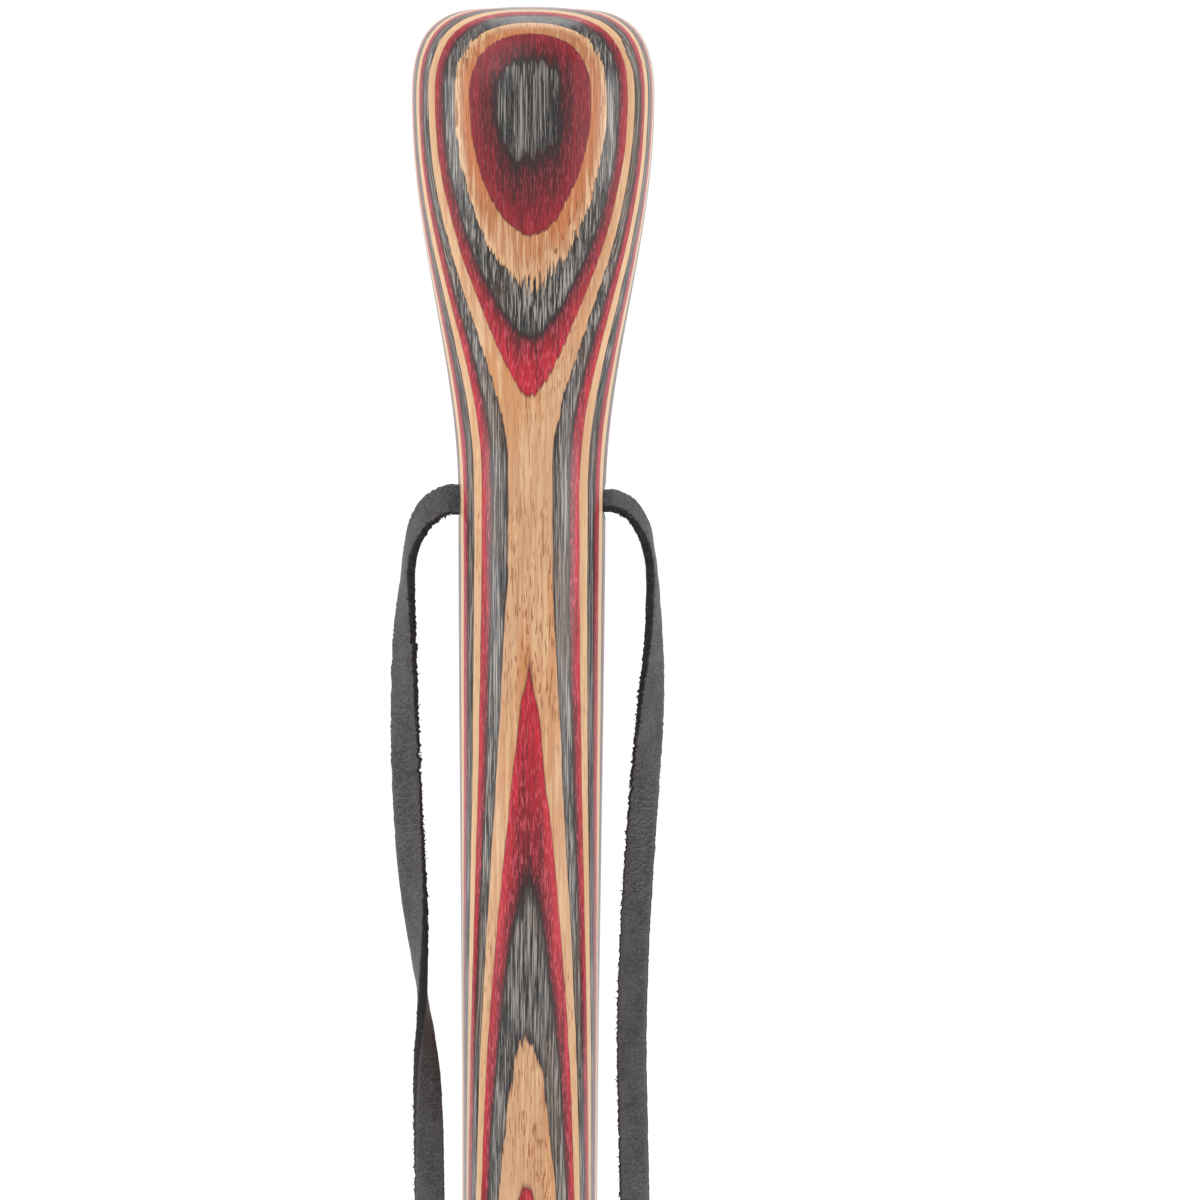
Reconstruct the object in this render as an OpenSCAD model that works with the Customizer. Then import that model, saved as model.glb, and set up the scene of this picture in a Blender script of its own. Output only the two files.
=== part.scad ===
// Hiking staff carved from a block of coloured veneers, with a leather wrist strap and a rubber tip.
// Millimetres. Z is up, the origin is the middle of the tip's ground face, the veneers lie across Y
// and the strap hole runs along X. The front of the head looks along -Y.

/* [Staff] */
// Height of the whole staff, from the ground to the top of the head
staff_h = 1220; // [1000:10:1500]
// Thickness of one veneer
ply_t = 1.6; // [1.2:0.1:2.4]

/* [Head] */
// Depth of the head at its widest, across the veneers
head_depth = 42.8; // [38:0.2:50]
// Width of the head at its widest, along the veneers
head_width = 40.2; // [34:0.2:48]
// Squareness of the head's cross-section, where 2 is a true ellipse
squareness = 2.15; // [2:0.05:2.6]
// Height of the rounded crown, above the widest part
crown_h = 15; // [8:1:20]
// Share of the head that is flat on top
crown_flat = 0.42; // [0.2:0.02:0.6]

/* [Neck] */
// Distance below the top where the neck is least deep
neck_at = 75; // [60:1:100]
// Depth of the neck there, across the veneers
neck_depth = 27.4; // [22:0.2:34]
// Distance below the top where the neck is least wide
narrow_at = 82; // [60:1:100]
// Width of the neck there, along the veneers
neck_width = 25; // [20:0.2:30]
// Roundness of the neck's cross-section, where 2 is a true ellipse and less leaves a soft ridge in front
neck_round = 1.76; // [1.6:0.02:2.2]
// Distance below the top where that ridge begins to fade
ridge_at = 125; // [100:5:180]

/* [Twisted shaft] */
// Distance of the first swell below the top
swell_at = 256; // [180:1:300]
// Long axis of the oval section at the first swell
swell_depth = 41.8; // [32:0.2:48]
// Distance below the top where the oval begins to twist
twist_at = 200; // [150:5:260]
// Short axis of the oval there
swell_width = 23.8; // [20:0.2:30]
// Length over which the twist comes up to its full rate
twist_ramp = 140; // [60:5:200]
// Length of shaft in which the oval turns half round
half_turn = 220; // [160:5:320]
// Short axis of the oval where the twist is at its full rate
oval_width = 26; // [20:0.5:32]
// Long axis of the oval above the foot
foot_depth = 34; // [26:0.5:42]
// Short axis of the oval above the foot
foot_width = 24; // [20:0.5:30]
// Length over which the oval turns into the round end
foot_blend = 90; // [50:5:150]
// Diameter of the round end that goes into the tip
spigot_d = 22; // [18:0.5:26]

/* [Strap] */
// Distance of the strap hole below the top
hole_at = 82; // [70:1:120]
// Width of the flat strap
strap_w = 5.2; // [3:0.2:7]
// Thickness of the strap
strap_t = 1.8; // [1:0.1:3]
// Room round the strap in its hole
strap_clear = 0.3; // [0.1:0.05:1]
// Diameter of the knot
knot_d = 12; // [8:0.5:14]
// Height of the knot
knot_h = 17; // [12:0.5:24]

/* [Rubber tip] */
// Height of the tip
tip_h = 44; // [34:1:60]
// Diameter of the tip's base
tip_base_d = 36; // [30:1:48]
// Wall of the tip round its socket
tip_wall = 3.2; // [2:0.2:5]
// Rubber below the washer
tip_floor = 12; // [8:1:18]
// Room round the shaft in the socket
tip_clear = 0.1; // [0.05:0.05:0.4]
// Depth of the tread rings in the base
tread_h = 1.5; // [0.5:0.1:3]
// Width of a tread ring
tread_w = 2; // [1:0.2:3]
// Height of each rib round the tip
rib_h = 3; // [2:0.2:5]
// How far the ribs stand out
rib_out = 0.8; // [0.4:0.1:1.5]
// Thickness of the washer in the socket
washer_t = 1.6; // [1:0.1:3]
// Hole in the washer
washer_hole_d = 6; // [3:0.5:10]

/* [Hidden] */
$fn = 64;
colour_names = ["black", "red", "natural"];
colour_values = ["#3a3a3c", "#9c1f36", "#cfa876"];
leather = "#2b2b2d";
rubber = "#1f1f20";
steel = "#b9bcc0";

// Least thickness of a veneer at the ends of an island, and the cut below its crest
feather = 0.25;
crest_cut = 0.05;
// A veneer farther out than this is drawn with rounder edges
round_from = 8;

wood_end = staff_h - tip_floor - washer_t;
spigot_margin = 8;
spigot_at = staff_h - tip_h - spigot_margin;
foot_at = spigot_at - foot_blend;
ramp_end = twist_at + twist_ramp;
hole_z = staff_h - hole_at;
hole_d = norm([strap_w, strap_t]) + 2 * strap_clear;

side_plies = ceil((head_depth / 2 - feather) / ply_t);
ply_count = 2 * side_plies;
function ply_colour(i) = i % len(colour_names);
function ply_name(i) = str("veneer_", i < 9 ? "0" : "", i + 1, "_", colour_names[ply_colour(i)]);
STRAP_NODES = ["strap_in_hole", "strap_right", "strap_left", "strap_knot", "strap_tail_right", "strap_tail_left"];

// The carved shape, as an oval section at each distance t below the top
function mix(a, b, s) = a + (b - a) * s;
function share(a, b, t) = max(0, min(1, (t - a) / (b - a)));
function ease(s) = (1 - cos(180 * s)) / 2;
function crown(t) = t >= crown_h ? 1 : mix(crown_flat, 1, pow(1 - pow(1 - t / crown_h, 2.5), 0.41));
function into_spigot(size, t) = mix(size, spigot_d, ease(share(foot_at, spigot_at, t)));
function head_size(head, neck, at, t) = crown(t) * mix(head, neck, ease(share(crown_h, at, t)));

function long_axis(t) =
    t < neck_at ? head_size(head_depth, neck_depth, neck_at, t) :
    t < swell_at ? mix(neck_depth, swell_depth, ease(share(neck_at, swell_at, t))) :
    into_spigot(mix(swell_depth, foot_depth, pow(share(swell_at, foot_at, t), 2)), t);

function short_axis(t) =
    t < narrow_at ? head_size(head_width, neck_width, narrow_at, t) :
    t < twist_at ? mix(neck_width, swell_width, ease(share(narrow_at, twist_at, t))) :
    t < ramp_end ? mix(swell_width, oval_width, ease(share(twist_at, ramp_end, t))) :
    into_spigot(mix(oval_width, foot_width, share(ramp_end, foot_at, t)), t);

// Turn of the long axis away from Y, which comes up to its full rate over the ramp
function turn(t) =
    let (down = max(0, t - twist_at), eased = min(down, twist_ramp))
    180 / half_turn * (down - eased + eased * eased / twist_ramp / 2);

// Exponent of the section's outline: a squarish head, a ridged neck, and a true ellipse where the twist begins
function power(t) =
    t < neck_at ? mix(squareness, neck_round, ease(share(crown_h, neck_at, t))) :
    mix(neck_round, 2, ease(share(ridge_at, twist_at, t)));

// Half depth of the section across the veneers, and its lean and half width at a level y
function half_depth(t) = norm([long_axis(t) * cos(turn(t)), short_axis(t) * sin(turn(t))]) / 2;
function lean(t) =
    (pow(long_axis(t) / 2, 2) - pow(short_axis(t) / 2, 2)) * sin(turn(t)) * cos(turn(t)) / pow(half_depth(t), 2);
function half_width(t, y) =
    long_axis(t) * short_axis(t) / 4 / half_depth(t)
    * pow(1 - pow(y / half_depth(t), power(t)), 1 / power(t));

// Distances below the top of the sections: round the crown, then along head, neck and shaft
crown_rings = 7;
head_step = 6;
neck_step = 12;
shaft_step = 17;
function steps(from, to, step) =
    let (n = ceil((to - from) / step))
    [for (i = [1:n]) mix(from, to, i / n)];
stations = concat(
    [for (i = [0:crown_rings]) crown_h * (1 - pow(cos(90 * i / crown_rings), 0.8))],
    steps(crown_h, neck_at, head_step),
    steps(neck_at, swell_at, neck_step),
    steps(swell_at, foot_at, shaft_step),
    steps(foot_at, spigot_at, shaft_step),
    [wood_end]);

// A closed skin over rings of equal length, each turning left as seen from before the first ring
module loft(rings) {
    n = len(rings[0]);
    last = (len(rings) - 1) * n;
    sides = [for (j = [0:len(rings) - 2], i = [0:n - 1], half = [0, 1])
        let (a = j * n + i, b = j * n + (i + 1) % n)
        half == 0 ? [a, b, b + n] : [a, b + n, a + n]];
    caps = [for (i = [1:n - 2], end = [0, 1])
        end == 0 ? [0, i + 1, i] : [last, last + i, last + i + 1]];
    polyhedron(points = [for (ring = rings, p = ring) p], faces = concat(sides, caps));
}

// Section of the veneer that starts at the level low, at the distance t below the top
function ply_ring(t, low, cuts) =
    let (deep = half_depth(t), high = min(low + ply_t, deep - crest_cut),
         from = asin(low / deep), to = asin(high / deep),
         levels = [for (i = [0:cuts]) i == 0 ? low : i == cuts ? high : deep * sin(mix(from, to, i / cuts))])
    concat(
        [for (i = [0:cuts]) [lean(t) * levels[i] + half_width(t, levels[i]), levels[i], staff_h - t]],
        [for (i = [cuts:-1:0]) [lean(t) * levels[i] - half_width(t, levels[i]), levels[i], staff_h - t]]);

// The distance between two stations where the carving just reaches the least depth
function meets(inside, outside, least, tries = 12) =
    let (middle = (inside + outside) / 2)
    tries == 0 ? inside :
    half_depth(middle) > least ? meets(middle, outside, least, tries - 1) : meets(inside, middle, least, tries - 1);

// The k-th veneer out from the middle on the back, as the islands that the carving leaves of it
module carved_ply(k) {
    low = k * ply_t;
    least = low + feather;
    cuts = low < round_from ? 1 : 2;
    there = [for (t = stations) half_depth(t) > least];
    final = len(stations) - 1;
    starts = [for (i = [0:final]) if (there[i] && (i == 0 || !there[i - 1])) i];
    ends = [for (i = [0:final]) if (there[i] && (i == final || !there[i + 1])) i];
    for (run = [0:1:len(starts) - 1]) {
        a = starts[run];
        b = ends[run];
        before = a == 0 ? [] : [meets(stations[a], stations[a - 1], least)];
        after = b == final ? [] : [meets(stations[b], stations[b + 1], least)];
        loft([for (t = concat(before, [for (i = [a:b]) stations[i]], after)) ply_ring(t, low, cuts)]);
    }
}

module strap_hole() {
    translate([0, 0, hole_z]) rotate([0, 90, 0])
        cylinder(d = hole_d, h = 2 * neck_width, center = true);
}

// Veneer i, counted from the front. The front half is the back half turned half round.
module veneer(i) {
    back = i >= side_plies;
    k = back ? i - side_plies : side_plies - 1 - i;
    color(colour_values[ply_colour(i)])
    rotate([0, 0, back ? 0 : 180])
    if (k * ply_t < hole_d / 2)
        difference() {
            carved_ply(k);
            strap_hole();
        }
    else carved_ply(k);
}

// The strap's route: x, y, height over the hole, and the direction of its width in plan
exit_x = neck_width / 2 + strap_clear;
knot_y = -23.5;
knot_top = -246;
pair_x = 1.2;
route_right = [
    [exit_x, 0, 0, 90], [14, 0, 0, 90], [16.6, 0, -1.4, 90], [18.8, 0, -4.6, 90], [20, 0, -9, 90],
    [20.6, 0, -15, 80], [20.8, -0.4, -24, 64], [20.4, -1, -35, 36], [19.6, -2, -47, 18], [18.7, -3.5, -61, 6],
    [17.9, -5.5, -77, 0], [17.6, -7.5, -93, 0], [18, -9, -109, 6], [18.4, -10, -125, 12], [18.4, -10.6, -141, 20],
    [17.8, -11.4, -156, 30], [16.6, -12.8, -170, 40], [14.8, -14.8, -184, 50], [12.2, -17.2, -197, 60],
    [8.8, -19.8, -210, 70], [5.2, -22, -222, 80], [2.4, -23.2, -233, 88], [pair_x, knot_y, -241, 90],
    [pair_x, knot_y, knot_top, 90]];
route_left = [
    [-exit_x, 0, 0, 90], [-14, 0, 0, 90], [-16.8, 0, -1.4, 90], [-19.2, 0, -4.6, 90], [-20.6, 0, -9, 96],
    [-21.2, -0.2, -15, 110], [-21.6, -0.6, -24, 134], [-21.6, -1.2, -35, 152], [-21.3, -2, -47, 166],
    [-20.6, -3.2, -60, 160], [-19.7, -4.6, -70, 140], [-18.9, -5.8, -79, 112], [-18.2, -7, -88, 84],
    [-17.7, -8.2, -97, 46], [-17.3, -9.6, -107, 20], [-17, -11.6, -121, 4], [-16.8, -14, -137, 0],
    [-16.4, -16.6, -152, 4], [-15.6, -19.2, -166, 12], [-14.2, -21.6, -180, 24], [-12, -23.6, -194, 40],
    [-8.8, -24.8, -208, 58], [-5.2, -24.8, -221, 74], [-2.4, -24, -233, 86], [-pair_x, knot_y, -241, 90],
    [-pair_x, knot_y, knot_top, 90]];
tail_top = knot_top - knot_h;
tail_right = [
    [pair_x, knot_y, tail_top, 90], [pair_x, knot_y, tail_top - 3, 90], [1.6, -24.6, tail_top - 12, 84],
    [2.4, -26.4, tail_top - 24, 76], [3.2, -28.6, tail_top - 36, 70], [3.6, -29.8, tail_top - 42, 68]];
tail_left = [
    [-pair_x, knot_y, tail_top, 90], [-pair_x, knot_y, tail_top - 3, 90], [-1.5, -24.2, tail_top - 12, 96],
    [-2.2, -25.4, tail_top - 23, 102], [-2.8, -27, tail_top - 34, 106]];

strap_edge = strap_t / 4;
function strap_profile(w, t, c) =
    [[w, c - t], [w - c, -t], [c - w, -t], [-w, c - t], [-w, t - c], [c - w, t], [w - c, t], [w, t - c]];
function unit(v) = v / norm(v);
function place(p) = [p[0], p[1], p[2] + hole_z];
function along(route, i) =
    unit(place(route[min(i + 1, len(route) - 1)]) - place(route[max(i - 1, 0)]));
function strap_ring(route, i) =
    let (way = along(route, i), plan = [cos(route[i][3]), sin(route[i][3]), 0],
         wide = unit(plan - (plan * way) * way), thick = cross(way, wide))
    [for (p = strap_profile(strap_w / 2, strap_t / 2, strap_edge)) place(route[i]) + p[0] * wide + p[1] * thick];

module strap(route) {
    color(leather)
    loft([for (i = [0:len(route) - 1]) strap_ring(route, i)]);
}

// Two wraps of the strap round its own strands, one above the other, with flat ends where the strands meet it
module strap_knot() {
    wrap = knot_h / 4;
    flat = knot_d / 2 - wrap / 2;
    color(leather)
    translate([0, knot_y, hole_z + tail_top])
    rotate_extrude()
    intersection() {
        square([knot_d, knot_h]);
        union() {
            square([flat, knot_h]);
            for (level = [wrap, knot_h - wrap])
                translate([flat - wrap / 2, level]) circle(r = wrap);
        }
    }
}

// Rubber tip: a tapered cup with two ribs, a flared base and rings of tread
module rubber_tip() {
    socket_r = spigot_d / 2 + tip_clear;
    top_r = socket_r + tip_wall;
    base_r = tip_base_d / 2;
    base_h = tip_floor / 2;
    edge = 1;
    lip = tip_wall / 3;
    color(rubber)
    difference() {
        rotate_extrude() {
            polygon([[0, 0], [base_r - edge, 0], [base_r, edge], [base_r, base_h],
                [top_r + rib_out, tip_floor], [top_r, tip_floor], [top_r, tip_h - lip], [top_r - lip, tip_h], [0, tip_h]]);
            for (level = [tip_h * 0.45, tip_h * 0.7])
                translate([0, level]) square([top_r + rib_out, rib_h]);
        }
        translate([0, 0, tip_floor]) cylinder(r = socket_r, h = tip_h);
        for (r = [base_r / 3, base_r * 2 / 3])
            difference() {
                translate([0, 0, -tread_h]) cylinder(r = r + tread_w / 2, h = 2 * tread_h);
                translate([0, 0, -2 * tread_h]) cylinder(r = r - tread_w / 2, h = 4 * tread_h);
            }
    }
}

// Steel washer in the bottom of the socket, which keeps the shaft from cutting through the rubber
module tip_washer() {
    color(steel)
    translate([0, 0, tip_floor])
    difference() {
        cylinder(d = spigot_d, h = washer_t);
        translate([0, 0, -washer_t]) cylinder(d = washer_hole_d, h = 3 * washer_t);
    }
}

for (i = [0:ply_count - 1])
    veneer(i);
strap([[-exit_x, 0, 0, 90], [exit_x, 0, 0, 90]]);  // strap_in_hole
strap(route_right);  // strap_right
strap(route_left);  // strap_left
strap_knot();
strap(tail_right);  // strap_tail_right
strap(tail_left);  // strap_tail_left
rubber_tip();
tip_washer();
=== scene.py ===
import math
import random

import bmesh
import bpy
from mathutils import Matrix, Vector, noise


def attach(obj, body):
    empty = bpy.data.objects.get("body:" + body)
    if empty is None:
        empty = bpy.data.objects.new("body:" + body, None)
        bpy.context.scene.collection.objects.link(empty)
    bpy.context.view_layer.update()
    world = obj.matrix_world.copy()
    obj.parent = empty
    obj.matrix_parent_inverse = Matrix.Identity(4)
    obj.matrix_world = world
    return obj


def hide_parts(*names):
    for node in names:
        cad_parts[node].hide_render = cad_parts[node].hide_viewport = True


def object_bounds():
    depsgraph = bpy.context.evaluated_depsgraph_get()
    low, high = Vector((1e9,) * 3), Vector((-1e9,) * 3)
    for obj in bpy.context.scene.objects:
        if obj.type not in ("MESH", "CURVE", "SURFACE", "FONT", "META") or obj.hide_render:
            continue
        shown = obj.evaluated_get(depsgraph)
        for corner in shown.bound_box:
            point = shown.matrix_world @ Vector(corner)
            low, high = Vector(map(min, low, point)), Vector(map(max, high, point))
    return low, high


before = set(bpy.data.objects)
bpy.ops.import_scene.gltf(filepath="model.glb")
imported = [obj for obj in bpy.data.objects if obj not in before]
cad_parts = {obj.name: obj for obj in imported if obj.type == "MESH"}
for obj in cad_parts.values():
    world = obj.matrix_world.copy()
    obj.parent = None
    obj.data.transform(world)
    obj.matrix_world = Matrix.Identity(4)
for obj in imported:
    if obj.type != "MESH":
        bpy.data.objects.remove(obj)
cad_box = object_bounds()

# Lengths are in millimetres until a piece is placed
MM = 0.001
STAFF_H = cad_box[1].z / MM

# Veneers
PLY_T = 1.6
PLY_COUNT = 28
DYES = ["black", "red", "natural"]

# Head and neck, as distances below the top and sizes across
HEAD_DEPTH = 42.8
HEAD_WIDTH = 40.2
HEAD_SQUARENESS = 2.15
CROWN_H = 15
CROWN_FLAT = 0.42
CROWN_DOME = 0.5
NECK_AT = 75
NECK_DEPTH = 27.4
NARROW_AT = 82
NECK_WIDTH = 25
NECK_ROUND = 1.76
RIDGE_AT = 125

# Twisted shaft and round foot
SWELL_AT = 256
SWELL_DEPTH = 41.8
TWIST_AT = 200
SWELL_WIDTH = 23.8
TWIST_RAMP = 140
HALF_TURN = 220
OVAL_WIDTH = 26
FOOT_DEPTH = 34
FOOT_WIDTH = 24
FOOT_BLEND = 90
SPIGOT_D = 22
SPIGOT_MARGIN = 8

# Rubber tip
TIP_H = 44
TIP_BASE_D = 36
TIP_WALL = 3.2
TIP_FLOOR = 12
TIP_CLEAR = 0.1
TREAD_H = 1.5
TREAD_W = 2
RIB_H = 3
RIB_OUT = 0.8
WASHER_T = 1.6

WOOD_END = STAFF_H - TIP_FLOOR - WASHER_T
SPIGOT_AT = STAFF_H - TIP_H - SPIGOT_MARGIN
FOOT_AT = SPIGOT_AT - FOOT_BLEND
RAMP_END = TWIST_AT + TWIST_RAMP

# Strap
HOLE_AT = 82
HOLE_D = 6.1
STRAP_W = 5.2
STRAP_T = 1.8
HOLE_Z = STAFF_H - HOLE_AT
EXIT_X = 12.8
KNOT_Y = -23.5
KNOT_TOP = -246
KNOT_H = 17
PAIR_X = 1.2
TAIL_TOP = KNOT_TOP - KNOT_H
SLANT_RUN = 10
TILT_RUN = 16
FRAY_FROM = 3
EXIT_TILT_RIGHT = 28
EXIT_TILT_LEFT = -66

# The strap's routes: across, towards the back, height over the hole, and the way its width lies in plan
ROUTE_RIGHT = [
    (EXIT_X, 0, 0, 90), (13.4, 0, 0, 90), (14, 0, 0, 90), (16.6, 0, -1.4, 90), (18.8, 0, -4.6, 90), (20, 0, -9, 90),
    (20.6, 0, -15, 80), (20.8, -0.4, -24, 64), (20.4, -1, -35, 36), (19.6, -2, -47, 18), (18.7, -3.5, -61, 6),
    (17.9, -5.5, -77, 0), (17.6, -7.5, -93, 0), (18, -9, -109, 6), (18.4, -10, -125, 12), (18.4, -10.6, -141, 20),
    (17.8, -11.4, -156, 30), (16.6, -12.8, -170, 40), (14.8, -14.8, -184, 50), (12.2, -17.2, -197, 60),
    (8.8, -19.8, -210, 70), (5.2, -22, -222, 80), (2.4, -23.2, -233, 88), (PAIR_X, KNOT_Y, -241, 90),
    (PAIR_X, KNOT_Y, KNOT_TOP, 90)]
ROUTE_LEFT = [
    (-EXIT_X, 0, 0, 90), (-13.4, 0, 0, 90), (-14, 0, 0, 90), (-16.8, 0, -1.4, 90), (-19.2, 0, -4.6, 90),
    (-20.6, 0, -9, 96), (-21.2, -0.2, -15, 110), (-21.6, -0.6, -24, 134), (-21.6, -1.2, -35, 152), (-21.3, -2, -47, 166),
    (-20.6, -3.2, -60, 160), (-19.7, -4.6, -70, 140), (-18.9, -5.8, -79, 112), (-18.2, -7, -88, 84),
    (-17.7, -8.2, -97, 46), (-17.3, -9.6, -107, 20), (-17, -11.6, -121, 4), (-16.8, -14, -137, 0),
    (-16.4, -16.6, -152, 4), (-15.6, -19.2, -166, 12), (-14.2, -21.6, -180, 24), (-12, -23.6, -194, 40),
    (-8.8, -24.8, -208, 58), (-5.2, -24.8, -221, 74), (-2.4, -24, -233, 86), (-PAIR_X, KNOT_Y, -241, 90),
    (-PAIR_X, KNOT_Y, KNOT_TOP, 90)]
TAIL_RIGHT = [
    (PAIR_X, KNOT_Y, TAIL_TOP, 90), (PAIR_X, KNOT_Y, -266, 90), (1.6, -24.6, -275, 84), (2.4, -26.4, -287, 76),
    (3.2, -28.6, -299, 70), (3.6, -29.8, -305, 68)]
TAIL_LEFT = [
    (-PAIR_X, KNOT_Y, TAIL_TOP, 90), (-PAIR_X, KNOT_Y, -266, 90), (-1.5, -24.2, -275, 96), (-2.2, -25.4, -286, 102),
    (-2.8, -27, -297, 106)]


# Camera: the photograph's middle view, as pixels of its own frame
PHOTO_SIDE = 1200
STAFF_TOP_PX = (533.6, 7.0)
PX_PER_MM = 6.06
CAMERA_AWAY = 488
CAMERA_TILT = math.radians(9.3)
CAMERA_ROLL = math.radians(0.4)
SENSOR = 36

# The staff hangs from its grip, over a floor that its tip clears when it is pulled off
FLOOR_DROP = 60


def photo_camera():
    ahead = Vector((0, math.cos(CAMERA_TILT), -math.sin(CAMERA_TILT)))
    level = Vector((1, 0, 0))
    upright = level.cross(ahead)
    right = level * math.cos(CAMERA_ROLL) + upright * math.sin(CAMERA_ROLL)
    up = upright * math.cos(CAMERA_ROLL) - level * math.sin(CAMERA_ROLL)
    middle = PHOTO_SIDE / 2
    place = Vector((0, 0, STAFF_H)) - ahead * CAMERA_AWAY
    place -= right * (STAFF_TOP_PX[0] - middle) / PX_PER_MM
    place -= up * (middle - STAFF_TOP_PX[1]) / PX_PER_MM
    data = bpy.data.cameras.new("photo_camera")
    data.sensor_width = SENSOR
    data.lens = SENSOR * PX_PER_MM * CAMERA_AWAY / PHOTO_SIDE
    data.clip_end = 50
    camera = bpy.data.objects.new("photo_camera", data)
    turn = Matrix((right, up, -ahead)).transposed().to_4x4()
    camera.matrix_world = Matrix.Translation(place * MM) @ turn
    bpy.context.scene.collection.objects.link(camera)
    bpy.context.scene.camera = camera


def soft_light(name, place, aim, side, watts, layer_tone_and_sheen=(1, 1, 1)):
    data = bpy.data.lights.new(name, "AREA")
    data.size = side
    data.energy = watts
    data.color = layer_tone_and_sheen
    light = bpy.data.objects.new(name, data)
    look = (Vector(aim) - Vector(place)).to_track_quat("-Z", "Y")
    light.matrix_world = Matrix.Translation(place) @ look.to_matrix().to_4x4()
    bpy.context.scene.collection.objects.link(light)


# Shader maths

class Flow:
    """A socket of a material, so that sums on it add nodes."""

    def __init__(self, tree, socket=None):
        self.tree = tree
        self.socket = socket

    def node(self, kind, settings=None, values=None, output=0):
        made = self.tree.nodes.new(kind)
        for key, value in (settings or {}).items():
            if key == "stops":
                ramp = made.color_ramp.elements
                while len(ramp) < len(value):
                    ramp.new(0.5)
                for stop, (at, colour) in zip(ramp, value):
                    stop.position = at
                    stop.color = colour
            else:
                setattr(made, key, value)
        for key, value in (values or {}).items():
            if isinstance(value, Flow):
                self.tree.links.new(value.socket, made.inputs[key])
            else:
                made.inputs[key].default_value = value
        return Flow(self.tree, made.outputs[output])

    def math(self, operation, first, second=0.0, third=0.0):
        return self.node("ShaderNodeMath", {"operation": operation}, {0: first, 1: second, 2: third})

    def __add__(self, other):
        return self.math("ADD", self, other)

    def __radd__(self, other):
        return self.math("ADD", other, self)

    def __sub__(self, other):
        return self.math("SUBTRACT", self, other)

    def __rsub__(self, other):
        return self.math("SUBTRACT", other, self)

    def __mul__(self, other):
        return self.math("MULTIPLY", self, other)

    def __rmul__(self, other):
        return self.math("MULTIPLY", other, self)

    def __truediv__(self, other):
        return self.math("DIVIDE", self, other)

    def __abs__(self):
        return self.math("ABSOLUTE", self)

    def __mod__(self, other):
        return self.math("MODULO", self, other)

    def floor(self):
        return self.math("FLOOR", self)

    def over(self, level):
        return self.math("GREATER_THAN", self, level)

    def power(self, other):
        return self.math("POWER", self, other)

    def between(self, low, high):
        settings = {"interpolation_type": "SMOOTHSTEP", "clamp": True}
        return self.node("ShaderNodeMapRange", settings, {"Value": self, "From Min": low, "From Max": high})

    def pick(self, first, second):
        """The first colour where this is 0, the second where it is 1."""
        return self.node("ShaderNodeMix", {"data_type": "RGBA"}, {0: self, 6: first, 7: second}, 2)

    def times(self, colour):
        """A colour made lighter or darker by this."""
        return self.node("ShaderNodeVectorMath", {"operation": "SCALE"}, {0: colour, 3: self})


def dye(red, green, blue):
    """A colour as the eye reads it, 0 to 255, made linear."""
    return tuple(((c / 255 + 0.055) / 1.055) ** 2.4 if c > 10 else c / 255 / 12.92 for c in (red, green, blue)) + (1,)


def new_material(name):
    material = bpy.data.materials.new(name)
    material.use_nodes = True
    tree = material.node_tree
    shader = tree.nodes["Principled BSDF"]
    flow = Flow(tree)
    point = flow.node("ShaderNodeTexCoord", output=3)
    return material, shader, flow, point


def fibres(flow, point, across, along, detail=2.0, shift=0.0):
    """Noise drawn out along the staff, in features for each millimetre."""
    stretch = flow.node("ShaderNodeMapping", values={
        "Vector": point, "Location": (shift, shift * 0.7, shift * 1.3),
        "Scale": (across / MM, across / MM, along / MM)})
    return flow.node("ShaderNodeTexNoise", values={"Vector": stretch, "Scale": 1.0, "Detail": detail})


def feed(shader, flow, **sockets):
    """Link or set the shader's sockets; an underscore in a name stands for a space."""
    for name, value in sockets.items():
        socket = shader.inputs[name.replace("_", " ")]
        if isinstance(value, Flow):
            flow.tree.links.new(value.socket, socket)
        else:
            socket.default_value = value


# Where the joints on the ridge of the neck are drawn as if it were carved sharper than the rest
CREST_AT = 112

# How slowly a fibre's streak changes where the surface cuts across it
CUT_ENDS = 0.2


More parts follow.
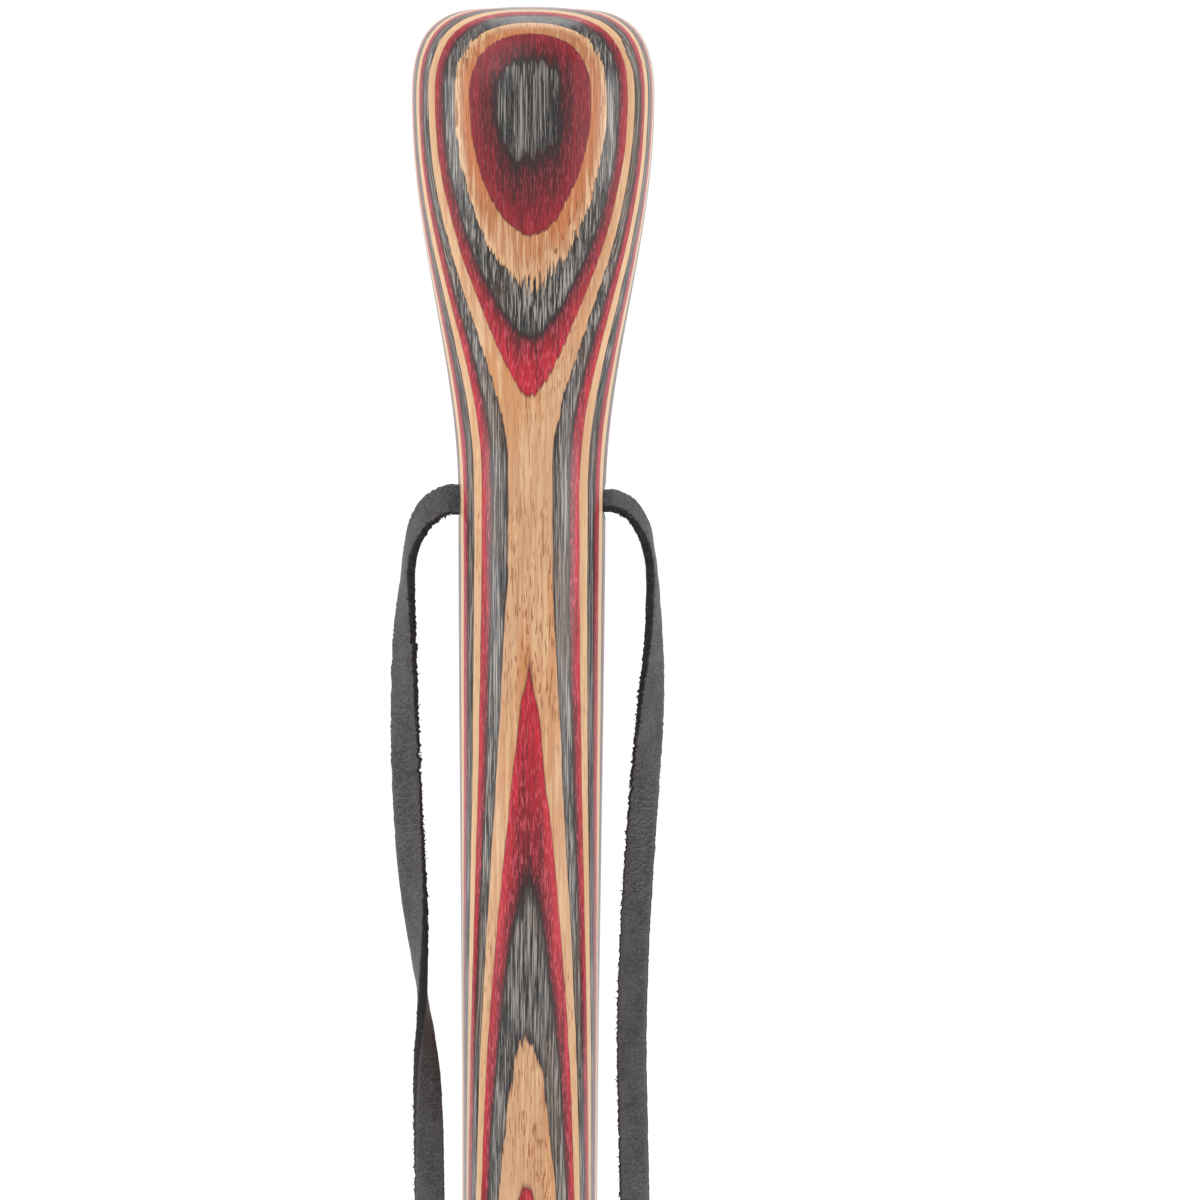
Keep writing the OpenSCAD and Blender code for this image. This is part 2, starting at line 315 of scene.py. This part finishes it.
def veneer_finish():
    """Dyed veneers under lacquer; the layer follows from the depth, so pores and teeth cross the joints."""
    material, shader, flow, point = new_material("lacquered_veneers")
    side, deep, high = (flow.node("ShaderNodeSeparateXYZ", values={0: point}, output=axis) for axis in range(3))
    slope = flow.node("ShaderNodeAttribute", {"attribute_name": "grain_slope"}, output=2)
    edge_on = flow.node("ShaderNodeAttribute", {"attribute_name": "edge_on"}, output=2)
    end_on = flow.node("ShaderNodeAttribute", {"attribute_name": "end_on"}, output=2)
    edged = edge_on.over(0.5)
    spread = (1 - edged * (1 - CUT_ENDS)), (CUT_ENDS + edged * (1 - CUT_ENDS))
    even = point
    point = flow.node("ShaderNodeCombineXYZ", values={0: side * spread[0], 1: deep * spread[1], 2: high})

    patchy = fibres(flow, even, 0.09, 0.03, 1, 8).between(0.36, 0.64)
    wander = (fibres(flow, even, 0.07, 0.012, 1) - 0.5) * 0.22
    wobble = (fibres(flow, even, 0.2, 0.13, 1, 6) - 0.5) * 0.3
    thin_spot = 1 - abs(high / MM - (STAFF_H - CREST_AT)).between(14, 32)
    crest = ((abs(side) / MM).between(-3.5, 3.5) - 0.8) * 0.4 * thin_spot * (1 - deep.over(0) * 2)
    plain = (deep / MM + wander + wobble + crest) / PLY_T + PLY_COUNT / 2
    pale_edge = 1 - (1.5 - abs((plain + 30) % 3 - 1.5)).between(0.3, 0.8)
    torn = (0.3 + pale_edge) * (0.5 + patchy)
    teeth = (fibres(flow, point, 1.8, 0.03, 1, 5) - 0.5) * 4.5
    splinters = (fibres(flow, point, 5, 0.12, 2, 9) - 0.5) * 4.5
    first = 1 - plain.between(1.1, 1.7)
    clefts = (fibres(flow, even, 0.6, 0.05, 2, 15) - 0.5) * 0.8 + 0.06
    layers = plain + ((teeth + splinters) * torn * slope + clefts * first) / PLY_T
    layer = layers.floor()
    into = layers - layer
    dyed = (layer + 30) % 3
    is_red = dyed.over(0.5)
    is_natural = dyed.over(1.5)
    to_joint = (0.5 - abs(into - 0.5)) * PLY_T

    calm = 1 - end_on * 0.75
    threads = 0.5 + (fibres(flow, point, 5.2, 0.11, 2, 1) - 0.5) * calm
    strokes = 0.5 + (fibres(flow, point, 1.7, 0.06, 3, 2) - 0.5) * calm
    layer_tone_and_sheen = flow.node("ShaderNodeTexWhiteNoise", {"noise_dimensions": "1D"}, {"W": layer})
    clouds = fibres(flow, point, 0.16, 0.03, 2, 3)
    flecks = fibres(flow, point, 5, 0.6, 1, 7)
    pores = fibres(flow, point, 4.6, 0.4, 0, 4).between(0.61, 0.68)
    veins = 1 - abs(fibres(flow, point, 0.8, 0.012, 2, 12) - 0.5).between(0.0, 0.022)
    warm = clouds.between(0.42, 0.7)

    handled = (high / MM).between(STAFF_H - 60, STAFF_H - 28) * (1 - edge_on)
    natural = warm.pick(dye(194, 151, 114), dye(190, 132, 82))
    natural = (handled * 0.7).pick(natural, dye(164, 98, 54))
    natural = (into.between(0.45, 1.0) * handled * 0.8).pick(natural, dye(226, 190, 146))
    natural = (threads.between(0.46, 0.6) * (0.2 + handled * 0.6)).pick(natural, dye(154, 92, 50))
    natural = (strokes.between(0.5, 0.64) * (0.5 + handled * 0.1)).pick(natural, dye(218, 184, 144))
    natural = (veins * 0.15).pick(natural, dye(140, 92, 58))
    natural = (pores * (0.15 + patchy * 0.7)).pick(natural, dye(132, 74, 34))
    blush = (1 - (into + (strokes - 0.5) * 0.8).between(0.1, 0.7)) * patchy
    natural = (blush * (0.12 + handled * 0.35)).pick(natural, dye(190, 102, 50))
    # Where the veneers show edge-on, the natural wood is painted a paler cream: painted highlight
    natural = (edge_on * 0.7).pick(natural, dye(222, 184, 140))
    red = (into + (strokes - 0.5) * 1.3).between(0.1, 0.9).pick(dye(92, 6, 18), dye(178, 16, 38))
    red = (threads.between(0.48, 0.62) * 0.65).pick(red, dye(76, 6, 16))
    red = (flecks.between(0.52, 0.66) * 0.5).pick(red, dye(212, 88, 102))
    red = (1 - handled * 0.5).times(red)
    # Where the veneers show edge-on, some red layers are painted pinkish: painted sheen of the lacquer
    red = (edge_on * layer_tone_and_sheen.between(0.5, 1.0) * 0.45).pick(red, dye(186, 82, 98))

    black = strokes.between(0.42, 0.6).pick(dye(18, 17, 18), dye(86, 83, 82))
    black = (threads.between(0.52, 0.62) * 0.8).pick(black, dye(158, 150, 142))
    black = ((1 - threads.between(0.38, 0.48)) * 0.92).pick(black, dye(4, 4, 5))
    black = (flecks.between(0.54, 0.68) * 0.2).pick(black, dye(150, 144, 138))
    black = (warm * 0.3).pick(black, dye(104, 76, 54))
    black = (0.7 + layer_tone_and_sheen * 0.46).times(black)

    ink = dye(18, 15, 17)
    bleed = into * PLY_T + (strokes - 0.5) * 0.3
    red = ((1 - bleed.between(0.0, 0.36)) * 0.9).pick(red, ink)
    black = ((1 - to_joint.between(0.0, 0.28)) * (0.75 - handled * 0.4)).pick(black, ink)
    colour = is_natural.pick(is_red.pick(black, red), natural)
    glue = (1 - to_joint.between(0.0, 0.07 + edge_on * 0.06)) * (0.55 + edge_on * 0.25)
    colour = glue.pick(colour, dye(52, 18, 18))

    over_hole = high / MM - HOLE_Z
    bored = 1 - (deep * deep / MM / MM + over_hole * over_hole).over((HOLE_D / 2 + 0.01) ** 2)
    # Inside the strap's hole the wood is painted near black, which is painted shade in the bore; the missing lacquer
    # and rougher wood there are the bore's own
    colour = (bored * 0.8).pick(colour, dye(30, 20, 16))
    height = threads * 0.5 + strokes * 0.3 - pores * 0.8
    rise = flow.node("ShaderNodeBump", values={"Strength": 0.25, "Distance": 0.00012, "Height": height})
    feed(shader, flow, Base_Color=colour, Roughness=0.4 + strokes * 0.12 + pores * 0.1 + bored * 0.4, Normal=rise,
         Coat_Weight=0.6 - bored * 0.6, Coat_Roughness=0.18, Coat_IOR=1.34, Specular_IOR_Level=0.25)
    return material


# Where the right strand was folded, as a distance along it
FOLD_AT = 63


def leather_finish():
    """Waxed lace: matt grey black with a fine pebble, cross wrinkles drawn as painted highlight and painted shade
    lines, and dark cut edges.
    """
    material, shader, flow, point = new_material("strap_leather")
    mottle = fibres(flow, point, 0.35, 0.2, 3, 2)
    speck = fibres(flow, point, 2.6, 2.2, 2, 6)
    dots = fibres(flow, point, 4.5, 3.6, 1, 3)
    along = flow.node("ShaderNodeAttribute", {"attribute_name": "lace_along"}, output=2)
    across = flow.node("ShaderNodeAttribute", {"attribute_name": "lace_across"}, output=2)
    rim = abs(across).between(0.88, 0.98)
    border = abs(across).between(0.7, 0.86)
    # Each crease is a painted highlight line with a painted shade line a little further along it
    painted_crease_lines = []
    for nudge in (0, 0.16):
        plan = flow.node("ShaderNodeCombineXYZ", values={0: along * 0.85 + nudge, 1: across * 1.5})
        wrinkle = flow.node("ShaderNodeTexNoise", values={"Vector": plan, "Scale": 1.0, "Detail": 1.2})
        painted_crease_lines.append(1 - abs(wrinkle - 0.5).between(0.0, 0.1))
    light, painted_crease_shade = painted_crease_lines
    pebble = flow.node("ShaderNodeTexVoronoi", values={"Vector": point, "Scale": 2000.0})
    colour = mottle.between(0.3, 0.7).pick(dye(40, 39, 41), dye(66, 64, 66))
    colour = (speck.between(0.54, 0.68) * 0.25).pick(colour, dye(106, 102, 104))
    colour = (dots.between(0.64, 0.72) * 0.4).pick(colour, dye(140, 136, 138))
    colour = ((1 - speck.between(0.34, 0.46)) * 0.4).pick(colour, dye(28, 27, 29))
    right = flow.node("ShaderNodeSeparateXYZ", values={0: point}).over(0)
    folded = (1 - abs(along - FOLD_AT).between(9, 18)) * right
    creased = 0.12 + fibres(flow, point, 0.03, 0.02, 1, 4).between(0.5, 0.6) * 0.3 + folded * 0.58
    # Painted highlight and painted shade of the creases, strongest about the fold of the right strand
    colour = (light * creased * 0.6).pick(colour, dye(118, 115, 117))
    colour = (painted_crease_shade * creased * 0.85).pick(colour, dye(10, 9, 10))
    colour = (border * 0.4).pick(colour, dye(84, 76, 77))
    colour = (rim * 0.9).pick(colour, dye(16, 15, 16))
    height = pebble * 0.5 + speck * 0.6 + light * creased
    rise = flow.node("ShaderNodeBump", values={"Strength": 0.7, "Distance": 0.0003, "Height": height})
    feed(shader, flow, Base_Color=colour, Roughness=0.5 + speck * 0.2 + rim * 0.3, Normal=rise,
         Specular_IOR_Level=0.45, Sheen_Weight=0.04, Sheen_Roughness=0.5)
    return material


def rubber_finish():
    material, shader, flow, point = new_material("tip_rubber")
    dust = fibres(flow, point, 0.12, 0.12, 4, 3)
    grit = fibres(flow, point, 3, 3, 2, 7)
    colour = dust.between(0.45, 0.75).pick(dye(34, 34, 35), dye(58, 56, 54))
    rise = flow.node("ShaderNodeBump", values={"Strength": 0.3, "Distance": 0.0002, "Height": grit})
    feed(shader, flow, Base_Color=colour, Roughness=0.6 + dust * 0.25, Normal=rise, Specular_IOR_Level=0.4)
    return material


def washer_finish():
    material, shader, flow, point = new_material("washer_steel")
    turned = fibres(flow, point, 2.2, 0.4, 3, 1)
    colour = turned.between(0.3, 0.7).pick(dye(168, 168, 166), dye(196, 196, 194))
    rise = flow.node("ShaderNodeBump", values={"Strength": 0.2, "Distance": 0.0001, "Height": turned})
    feed(shader, flow, Base_Color=colour, Metallic=1.0, Roughness=0.28 + turned * 0.2, Normal=rise)
    return material


def floor_finish():
    material, shader, flow, point = new_material("studio_floor")
    cast = fibres(flow, point, 0.002, 0.002, 2)
    colour = cast.pick(dye(246, 246, 246), dye(250, 250, 250))
    feed(shader, flow, Base_Color=colour, Roughness=0.9, Emission_Color=colour, Emission_Strength=0.5)
    return material


# Pieces

def show(name, bm, material, body, smooth=True):
    """Turn a finished bmesh into a piece that rides on a body."""
    for face in bm.faces:
        face.smooth = smooth
    mesh = bpy.data.meshes.new(name)
    bm.to_mesh(mesh)
    bm.free()
    piece = bpy.data.objects.new(name, mesh)
    bpy.context.scene.collection.objects.link(piece)
    mesh.materials.append(material)
    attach(piece, body)
    return piece


def mix(a, b, part):
    return a + (b - a) * part


def share(a, b, at):
    return min(max((at - a) / (b - a), 0), 1)


def ease(part):
    return (1 - math.cos(math.pi * part)) / 2


def crown(t):
    if t >= CROWN_H:
        return 1
    return mix(CROWN_FLAT, 1, (1 - (1 - t / CROWN_H) ** 2.5) ** 0.41)


def head_size(head, neck, at, t):
    return crown(t) * mix(head, neck, ease(share(CROWN_H, at, t)))


def into_spigot(size, t):
    return mix(size, SPIGOT_D, ease(share(FOOT_AT, SPIGOT_AT, t)))


def long_axis(t):
    if t < NECK_AT:
        return head_size(HEAD_DEPTH, NECK_DEPTH, NECK_AT, t)
    if t < SWELL_AT:
        return mix(NECK_DEPTH, SWELL_DEPTH, ease(share(NECK_AT, SWELL_AT, t)))
    return into_spigot(mix(SWELL_DEPTH, FOOT_DEPTH, share(SWELL_AT, FOOT_AT, t) ** 2), t)


def short_axis(t):
    if t < NARROW_AT:
        return head_size(HEAD_WIDTH, NECK_WIDTH, NARROW_AT, t)
    if t < TWIST_AT:
        return mix(NECK_WIDTH, SWELL_WIDTH, ease(share(NARROW_AT, TWIST_AT, t)))
    if t < RAMP_END:
        return mix(SWELL_WIDTH, OVAL_WIDTH, ease(share(TWIST_AT, RAMP_END, t)))
    return into_spigot(mix(OVAL_WIDTH, FOOT_WIDTH, share(RAMP_END, FOOT_AT, t)), t)


def twist(t):
    down = max(0, t - TWIST_AT)
    eased = min(down, TWIST_RAMP)
    return math.pi / HALF_TURN * (down - eased + eased ** 2 / TWIST_RAMP / 2)


def roundness(t):
    """Exponent of the section: a squarish head, a ridged neck, then a true ellipse."""
    if t < NECK_AT:
        return mix(HEAD_SQUARENESS, NECK_ROUND, ease(share(CROWN_H, NECK_AT, t)))
    return mix(NECK_ROUND, 2, ease(share(RIDGE_AT, TWIST_AT, t)))


def carved(t, x, y):
    """Where a point of a unit disc lies on the carved section at a distance below the top."""
    along, over, turn = long_axis(t) / 2, short_axis(t) / 2, twist(t)
    square = roundness(t)
    depth = math.hypot(along * math.cos(turn), over * math.sin(turn))
    lean = (along ** 2 - over ** 2) * math.sin(turn) * math.cos(turn) / depth ** 2
    reach = math.hypot(x, y)
    if reach < 1e-9:
        return Vector((0, 0))
    fore = math.copysign(abs(y / reach) ** (2 / square), y) * depth * reach
    side = math.copysign(abs(x / reach) ** (2 / square), x) * along * over / depth * reach
    return Vector((lean * fore + side, fore))


def staff_block():
    """The whole carved staff, before it is parted into veneers."""
    around = 112
    step = 2.4
    crown_rings = 14
    rings = [(0, reach) for reach in (0.5, 0.8, 1.0)]
    rings += [(CROWN_H * (k / crown_rings) ** 2.2, 1.0) for k in range(1, crown_rings + 1)]
    count = round((WOOD_END - CROWN_H) / step)
    rings += [(mix(CROWN_H, WOOD_END, k / count), 1.0) for k in range(1, count + 1)]
    bm = bmesh.new()
    bmesh.ops.create_circle(bm, cap_ends=True, segments=around, radius=0.25)
    rim = bm.edges[:]
    for t, reach in rings:
        grown = bmesh.ops.extrude_edge_only(bm, edges=rim)["geom"]
        rim = [part for part in grown if isinstance(part, bmesh.types.BMEdge)]
        for vert in (part for part in grown if isinstance(part, bmesh.types.BMVert)):
            vert.co.xy = vert.co.xy.normalized() * reach
            vert.co.z = t
    bmesh.ops.contextual_create(bm, geom=rim)
    for vert in bm.verts:
        t = vert.co.z
        reach = vert.co.xy.length
        dome = CROWN_DOME * reach ** 2 * (1 - share(0, CROWN_H / 3, t))
        vert.co.xy = carved(t, vert.co.x, vert.co.y)
        vert.co.z = STAFF_H - t - dome
    bmesh.ops.scale(bm, vec=(MM, MM, MM), verts=bm.verts)
    bmesh.ops.recalc_face_normals(bm, faces=bm.faces)
    return bm


def bore(bm):
    """Cut the strap's hole through the neck."""
    drill = bmesh.new()
    turned = Matrix.Translation((0, 0, HOLE_Z * MM)) @ Matrix.Rotation(math.pi / 2, 4, "Y")
    bmesh.ops.create_cone(drill, cap_ends=True, segments=48, radius1=HOLE_D / 2 * MM, radius2=HOLE_D / 2 * MM,
                          depth=HEAD_WIDTH * 2 * MM, matrix=turned)
    solids = []
    for name, shape in (("blank", bm), ("drill", drill)):
        mesh = bpy.data.meshes.new(name)
        shape.to_mesh(mesh)
        shape.free()
        solids.append(bpy.data.objects.new(name, mesh))
        bpy.context.scene.collection.objects.link(solids[-1])
    blank, tool = solids
    cut = blank.modifiers.new("bore", "BOOLEAN")
    cut.operation = "DIFFERENCE"
    cut.object = tool
    cut.solver = "EXACT"
    bored = bmesh.new()
    bored.from_object(blank, bpy.context.evaluated_depsgraph_get())
    for solid in solids:
        mesh = solid.data
        bpy.data.objects.remove(solid)
        bpy.data.meshes.remove(mesh)
    return bored


def veneers(finish):
    """Part the bored staff at the glue joints, and keep the carved surface's shading across them."""
    bm = bore(staff_block())
    for joint in range(1 - PLY_COUNT // 2, PLY_COUNT // 2):
        bmesh.ops.bisect_plane(bm, geom=bm.verts[:] + bm.edges[:] + bm.faces[:], dist=1e-7,
                               plane_co=(0, joint * PLY_T * MM, 0), plane_no=(0, 1, 0))
    bm.normal_update()
    shading = bm.verts.layers.float_vector.new("shading")
    slope = bm.verts.layers.float.new("grain_slope")
    edge_on = bm.verts.layers.float.new("edge_on")
    end_on = bm.verts.layers.float.new("end_on")
    for vert in bm.verts:
        vert[shading] = vert.normal
        level = 1 - share(0.3, 0.6, abs(vert.normal.z))
        vert[slope] = -vert.normal.z * vert.normal.y * level
        vert[edge_on] = ease(share(0.85, 0.4, abs(vert.normal.y)))
        vert[end_on] = ease(share(0.35, 0.75, abs(vert.normal.z)))
    pieces = []
    for index in range(PLY_COUNT):
        ply = bm.copy()
        away = [face for face in ply.faces
                if math.floor(face.calc_center_median().y / MM / PLY_T) != index - PLY_COUNT // 2]
        bmesh.ops.delete(ply, geom=away, context="FACES")
        pieces.append(ply_piece(ply, index, finish))
    bm.free()
    return pieces


def ply_piece(ply, index, finish):
    shading = ply.verts.layers.float_vector["shading"]
    carved_faces = len(ply.faces)
    bmesh.ops.holes_fill(ply, edges=[edge for edge in ply.edges if edge.is_boundary], sides=0)
    ply.faces.ensure_lookup_table()
    ply.normal_update()
    normals = []
    for face in ply.faces:
        for corner in face.loops:
            kept = corner.vert[shading]
            smooth = face.index < carved_faces and kept.dot(face.normal) > 0.75
            normals.append(kept.normalized() if smooth else face.normal.copy())
    colour = DYES[index % 3]
    node = f"veneer_{index + 1:02d}_{colour}"
    piece = show(f"ply_{index + 1:02d}_{colour}", ply, finish, "staff")
    piece.data.normals_split_custom_set(normals)
    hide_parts(node)
    return piece


def smooth_route(route, spacing):
    """A route's points, joined by one smooth curve and set at an even spacing."""
    points = [Vector(point) for point in route]
    ends = [points[0] * 2 - points[1]] + points + [points[-1] * 2 - points[-2]]
    fine = []
    for before, first, second, after in zip(ends, ends[1:], ends[2:], ends[3:]):
        steps = 24
        for k in range(steps):
            s = k / steps
            fine.append(0.5 * (2 * first + (second - before) * s
                               + (2 * before - 5 * first + 4 * second - after) * s * s
                               + (3 * first - before - 3 * second + after) * s ** 3))
    fine.append(points[-1])
    lengths = [0.0]
    for first, second in zip(fine, fine[1:]):
        lengths.append(lengths[-1] + (second - first).xyz.length)
    count = max(2, round(lengths[-1] / spacing))
    even = []
    at = 0
    for k in range(count + 1):
        goal = lengths[-1] * k / count
        while at < len(fine) - 2 and lengths[at + 1] < goal:
            at += 1
        even.append(fine[at].lerp(fine[at + 1], share(lengths[at], lengths[at + 1], goal)))
    return even, lengths[-1]


def on_staff(point):
    """A route's point as a place in the scene."""
    return Vector((point[0], point[1], HOLE_Z + point[2])) * MM


def lace(name, route, finish, ragged=0.0, slant=0.0, tilts=(0, 0), seed=0):
    """A flat leather lace along a route, torn along one edge, tilted where it starts and cut on a slant."""
    stations, length = smooth_route(route, 0.4)
    around = 24
    bm = bmesh.new()
    bmesh.ops.create_circle(bm, segments=around, radius=1)
    first = bm.verts[:]
    rim = bm.edges[:]
    for k in range(1, len(stations)):
        grown = bmesh.ops.extrude_edge_only(bm, edges=rim)["geom"]
        rim = [part for part in grown if isinstance(part, bmesh.types.BMEdge)]
        for vert in (part for part in grown if isinstance(part, bmesh.types.BMVert)):
            vert.co.z = k
    for end in (rim, first):
        for face in bmesh.ops.contextual_create(bm, geom=end)["faces"]:
            for edge in face.edges:
                edge.smooth = False
    line = [on_staff(point) for point in stations]
    frames = [lace_frame(line, stations, k, tilts) for k in range(len(line))]
    lengthwise = bm.verts.layers.float.new("lace_along")
    crosswise = bm.verts.layers.float.new("lace_across")
    for vert in bm.verts:
        k = round(vert.co.z)
        ahead, wide, face = frames[k]
        across = math.copysign(abs(vert.co.x) ** 0.3, vert.co.x) * STRAP_W / 2
        thick = math.copysign(abs(vert.co.y) ** 0.6, vert.co.y) * STRAP_T / 2
        at = k * length / (len(line) - 1)
        vert[lengthwise] = at
        vert[crosswise] = across * 2 / STRAP_W
        fray = ragged * share(0, FRAY_FROM, at) * (1 + 1.2 * share(70, 30, at))
        if vert.co.x < -0.3:
            torn = noise.noise((at * 0.7, seed, 0)) * 0.35 + noise.noise((at * 2.1, seed, 4)) * 0.5
            across += fray * (torn * 0.75 + 0.06)
        else:
            torn = noise.noise((at * 0.4, seed, 8)) * 0.12 + noise.noise((at * 2.3, seed, 2)) * 0.16
            across += fray * torn
        thick *= 1 + 0.12 * noise.noise((at * 0.3, across * 0.5, seed)) * share(0, FRAY_FROM, at)
        back = slant * (0.5 + across / STRAP_W) * share(length - SLANT_RUN, length, at)
        vert.co = line[k] + (wide * across + face * thick - ahead * back) * MM
    bmesh.ops.recalc_face_normals(bm, faces=bm.faces)
    if ragged:
        tufts(bm, line, frames, seed)
    piece = show(name, bm, finish, "strap")
    return piece, line, length * MM


def lace_frame(line, stations, k, tilts):
    """The lace's way ahead, its width and its face at one station."""
    ahead = (line[min(k + 1, len(line) - 1)] - line[max(k - 1, 0)]).normalized()
    plan = math.radians(stations[k][3])
    wide = Vector((math.cos(plan), math.sin(plan), 0))
    wide = (wide - ahead * wide.dot(ahead)).normalized()
    run = (line[k] - line[0]).length / MM
    tilt = math.radians(mix(tilts[0], tilts[1], ease(share(0, TILT_RUN, run))))
    wide = Matrix.Rotation(tilt, 3, ahead) @ wide
    return ahead, wide, ahead.cross(wide)


def tufts(bm, line, frames, seed):
    """Fibres that stand out of the torn edge."""
    dice = random.Random(seed)
    span = (len(line) - 1) * 0.4
    for _ in range(round(span * 1.2)):
        k = 2 + round((len(line) - 5) * dice.random() ** 1.6)
        ahead, wide, face = frames[k]
        stray = ahead * dice.uniform(-1.2, 1.2) + face * dice.uniform(-0.7, 0.7)
        way = (stray - wide * dice.uniform(0.4, 1.2)).normalized()
        reach = dice.uniform(0.3, 0.9)
        root = line[k] - wide * (STRAP_W / 2 - 0.25) * MM + face * dice.uniform(-0.7, 0.7) * MM
        stand = way.to_track_quat("Z", "Y").to_matrix().to_4x4()
        place = Matrix.Translation(root + way * reach / 2 * MM) @ stand
        bmesh.ops.create_cone(bm, cap_ends=True, segments=3, radius1=dice.uniform(0.06, 0.2) * MM, radius2=0.02 * MM,
                              depth=reach * MM, matrix=place)


def hole_lace(finish):
    reach = EXIT_X + 0.02
    route = [(x, 0, 0, 90) for x in (-reach, -reach / 2, 0, reach / 2, reach)]
    piece, _, _ = lace("lace_in_hole", route, finish, tilts=(-EXIT_TILT_LEFT, EXIT_TILT_RIGHT - 180))
    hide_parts("strap_in_hole")
    return piece


def knot(finish):
    """Lace wound twice round the pair and tucked away on a slant, over a core that fills the middle."""
    route = []
    steps = 36
    for k in range(steps + 1):
        part = k / steps
        turn = mix(100, 1000, part)
        drop = 2.3 + 5.6 * ease(share(0.3, 0.5, part)) + 6.4 * ease(share(0.62, 1, part))
        reach = 4.0 + 0.5 * ease(share(0.4, 0.55, part)) - 1.2 * ease(share(0.9, 1, part))
        x = reach * math.cos(math.radians(turn))
        y = reach * math.sin(math.radians(turn))
        route.append((x, KNOT_Y + y, KNOT_TOP - drop, turn))
    piece, _, _ = lace("lace_knot", route, finish, ragged=0.5, tilts=(90, 90), seed=70)
    bm = bmesh.new()
    bm.from_mesh(piece.data)
    place = Matrix.Translation(on_staff((0, KNOT_Y, KNOT_TOP - KNOT_H / 2)))
    size = Matrix.Diagonal((3.8 * MM, 4.0 * MM, KNOT_H * 0.62 * MM, 1))
    bmesh.ops.create_uvsphere(bm, u_segments=40, v_segments=24, radius=1, matrix=place @ size)
    for face in bm.faces:
        face.smooth = True
    bm.to_mesh(piece.data)
    bm.free()
    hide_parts("strap_knot")
    return piece


def strap(finish):
    threaded = hole_lace(finish)
    tied = knot(finish)
    for side, route, tail, tilt, seed in (("right", ROUTE_RIGHT, TAIL_RIGHT, EXIT_TILT_RIGHT, 3),
                                          ("left", ROUTE_LEFT, TAIL_LEFT, EXIT_TILT_LEFT, 40)):
        strand, line, length = lace(f"lace_{side}", route, finish, ragged=0.8, tilts=(tilt, 0), seed=seed)
        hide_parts(f"strap_{side}")
        end, line, length = lace(f"lace_tail_{side}", tail, finish, ragged=0.6, slant=3.4, seed=seed + 11)
        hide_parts(f"strap_tail_{side}")


def rubber_tip(finish):
    """A moulded ferrule: ribbed cup, flared foot and rings of tread."""
    socket_r = SPIGOT_D / 2 + TIP_CLEAR
    top_r = socket_r + TIP_WALL
    base_r = TIP_BASE_D / 2
    rib_r = top_r + RIB_OUT
    outline = [(0, 0)]
    for ring in (base_r / 3, base_r * 2 / 3):
        inner, outer = ring - TREAD_W / 2, ring + TREAD_W / 2
        outline += [(inner, 0), (inner, TREAD_H), (outer, TREAD_H), (outer, 0)]
    outline += [(base_r, 0), (base_r, TIP_FLOOR / 2), (rib_r, TIP_FLOOR), (top_r, TIP_FLOOR)]
    for level in (TIP_H * 0.45, TIP_H * 0.7):
        outline += [(top_r, level), (rib_r, level), (rib_r, level + RIB_H), (top_r, level + RIB_H)]
    outline += [(top_r, TIP_H), (socket_r, TIP_H), (socket_r, TIP_FLOOR), (0, TIP_FLOOR)]
    bm = bmesh.new()
    verts = [bm.verts.new((r * MM, 0, z * MM)) for r, z in outline]
    edges = [bm.edges.new(pair) for pair in zip(verts, verts[1:])]
    bmesh.ops.spin(bm, geom=verts + edges, cent=(0, 0, 0), axis=(0, 0, 1), angle=math.tau, steps=72, use_merge=True)
    bmesh.ops.remove_doubles(bm, verts=bm.verts, dist=1e-7)
    bmesh.ops.recalc_face_normals(bm, faces=bm.faces)
    rims = [edge for edge in bm.edges
            if abs(edge.verts[0].co.z - edge.verts[1].co.z) < 1e-6 and edge.calc_face_angle(0) > 0.3]
    bmesh.ops.bevel(bm, geom=rims, offset=0.5 * MM, affect="EDGES", segments=3, profile=0.5, material=-1,
                    clamp_overlap=True)
    piece = show("ferrule", bm, finish, "tip")
    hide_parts("rubber_tip")


def stage():
    bm = bmesh.new()
    below = Matrix.Translation((0, 0, -FLOOR_DROP * MM))
    bmesh.ops.create_circle(bm, cap_ends=True, segments=96, radius=9, matrix=below)
    mesh = bpy.data.meshes.new("studio_floor")
    bm.to_mesh(mesh)
    bm.free()
    floor = bpy.data.objects.new("studio_floor", mesh)
    mesh.materials.append(floor_finish())
    bpy.context.scene.collection.objects.link(floor)
    studio_world()
    aim = (0, 0, STAFF_H * MM - 0.1)
    soft_light("key", (-0.7, -1.1, 1.9), aim, 1.2, 6.5)
    soft_light("fill", (1.0, -0.8, 1.3), aim, 0.9, 2)
    soft_light("top", (0, 0.3, 2.4), aim, 0.8, 8)
    soft_light("left", (-1.2, -0.32, 1.15), aim, 0.5, 5)
    soft_light("right", (1.2, -0.32, 1.15), aim, 0.5, 5)


def studio_world():
    """A white backdrop that lights the staff less than it shows."""
    world = bpy.data.worlds.new("studio_white")
    world.use_nodes = True
    bpy.context.scene.world = world
    bpy.context.scene.view_settings.view_transform = "Standard"
    flow = Flow(world.node_tree)
    seen = flow.node("ShaderNodeLightPath")
    mirrored = flow.node("ShaderNodeLightPath", output=3)
    sky = world.node_tree.nodes["Background"]
    feed(sky, flow, Color=(1, 1, 1, 1), Strength=0.6 + (seen + mirrored) * 0.45)


photo_camera()
stage()
veneers(veneer_finish())
strap(leather_finish())
rubber_tip(rubber_finish())
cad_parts["tip_washer"].data.materials.clear()
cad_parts["tip_washer"].data.materials.append(washer_finish())
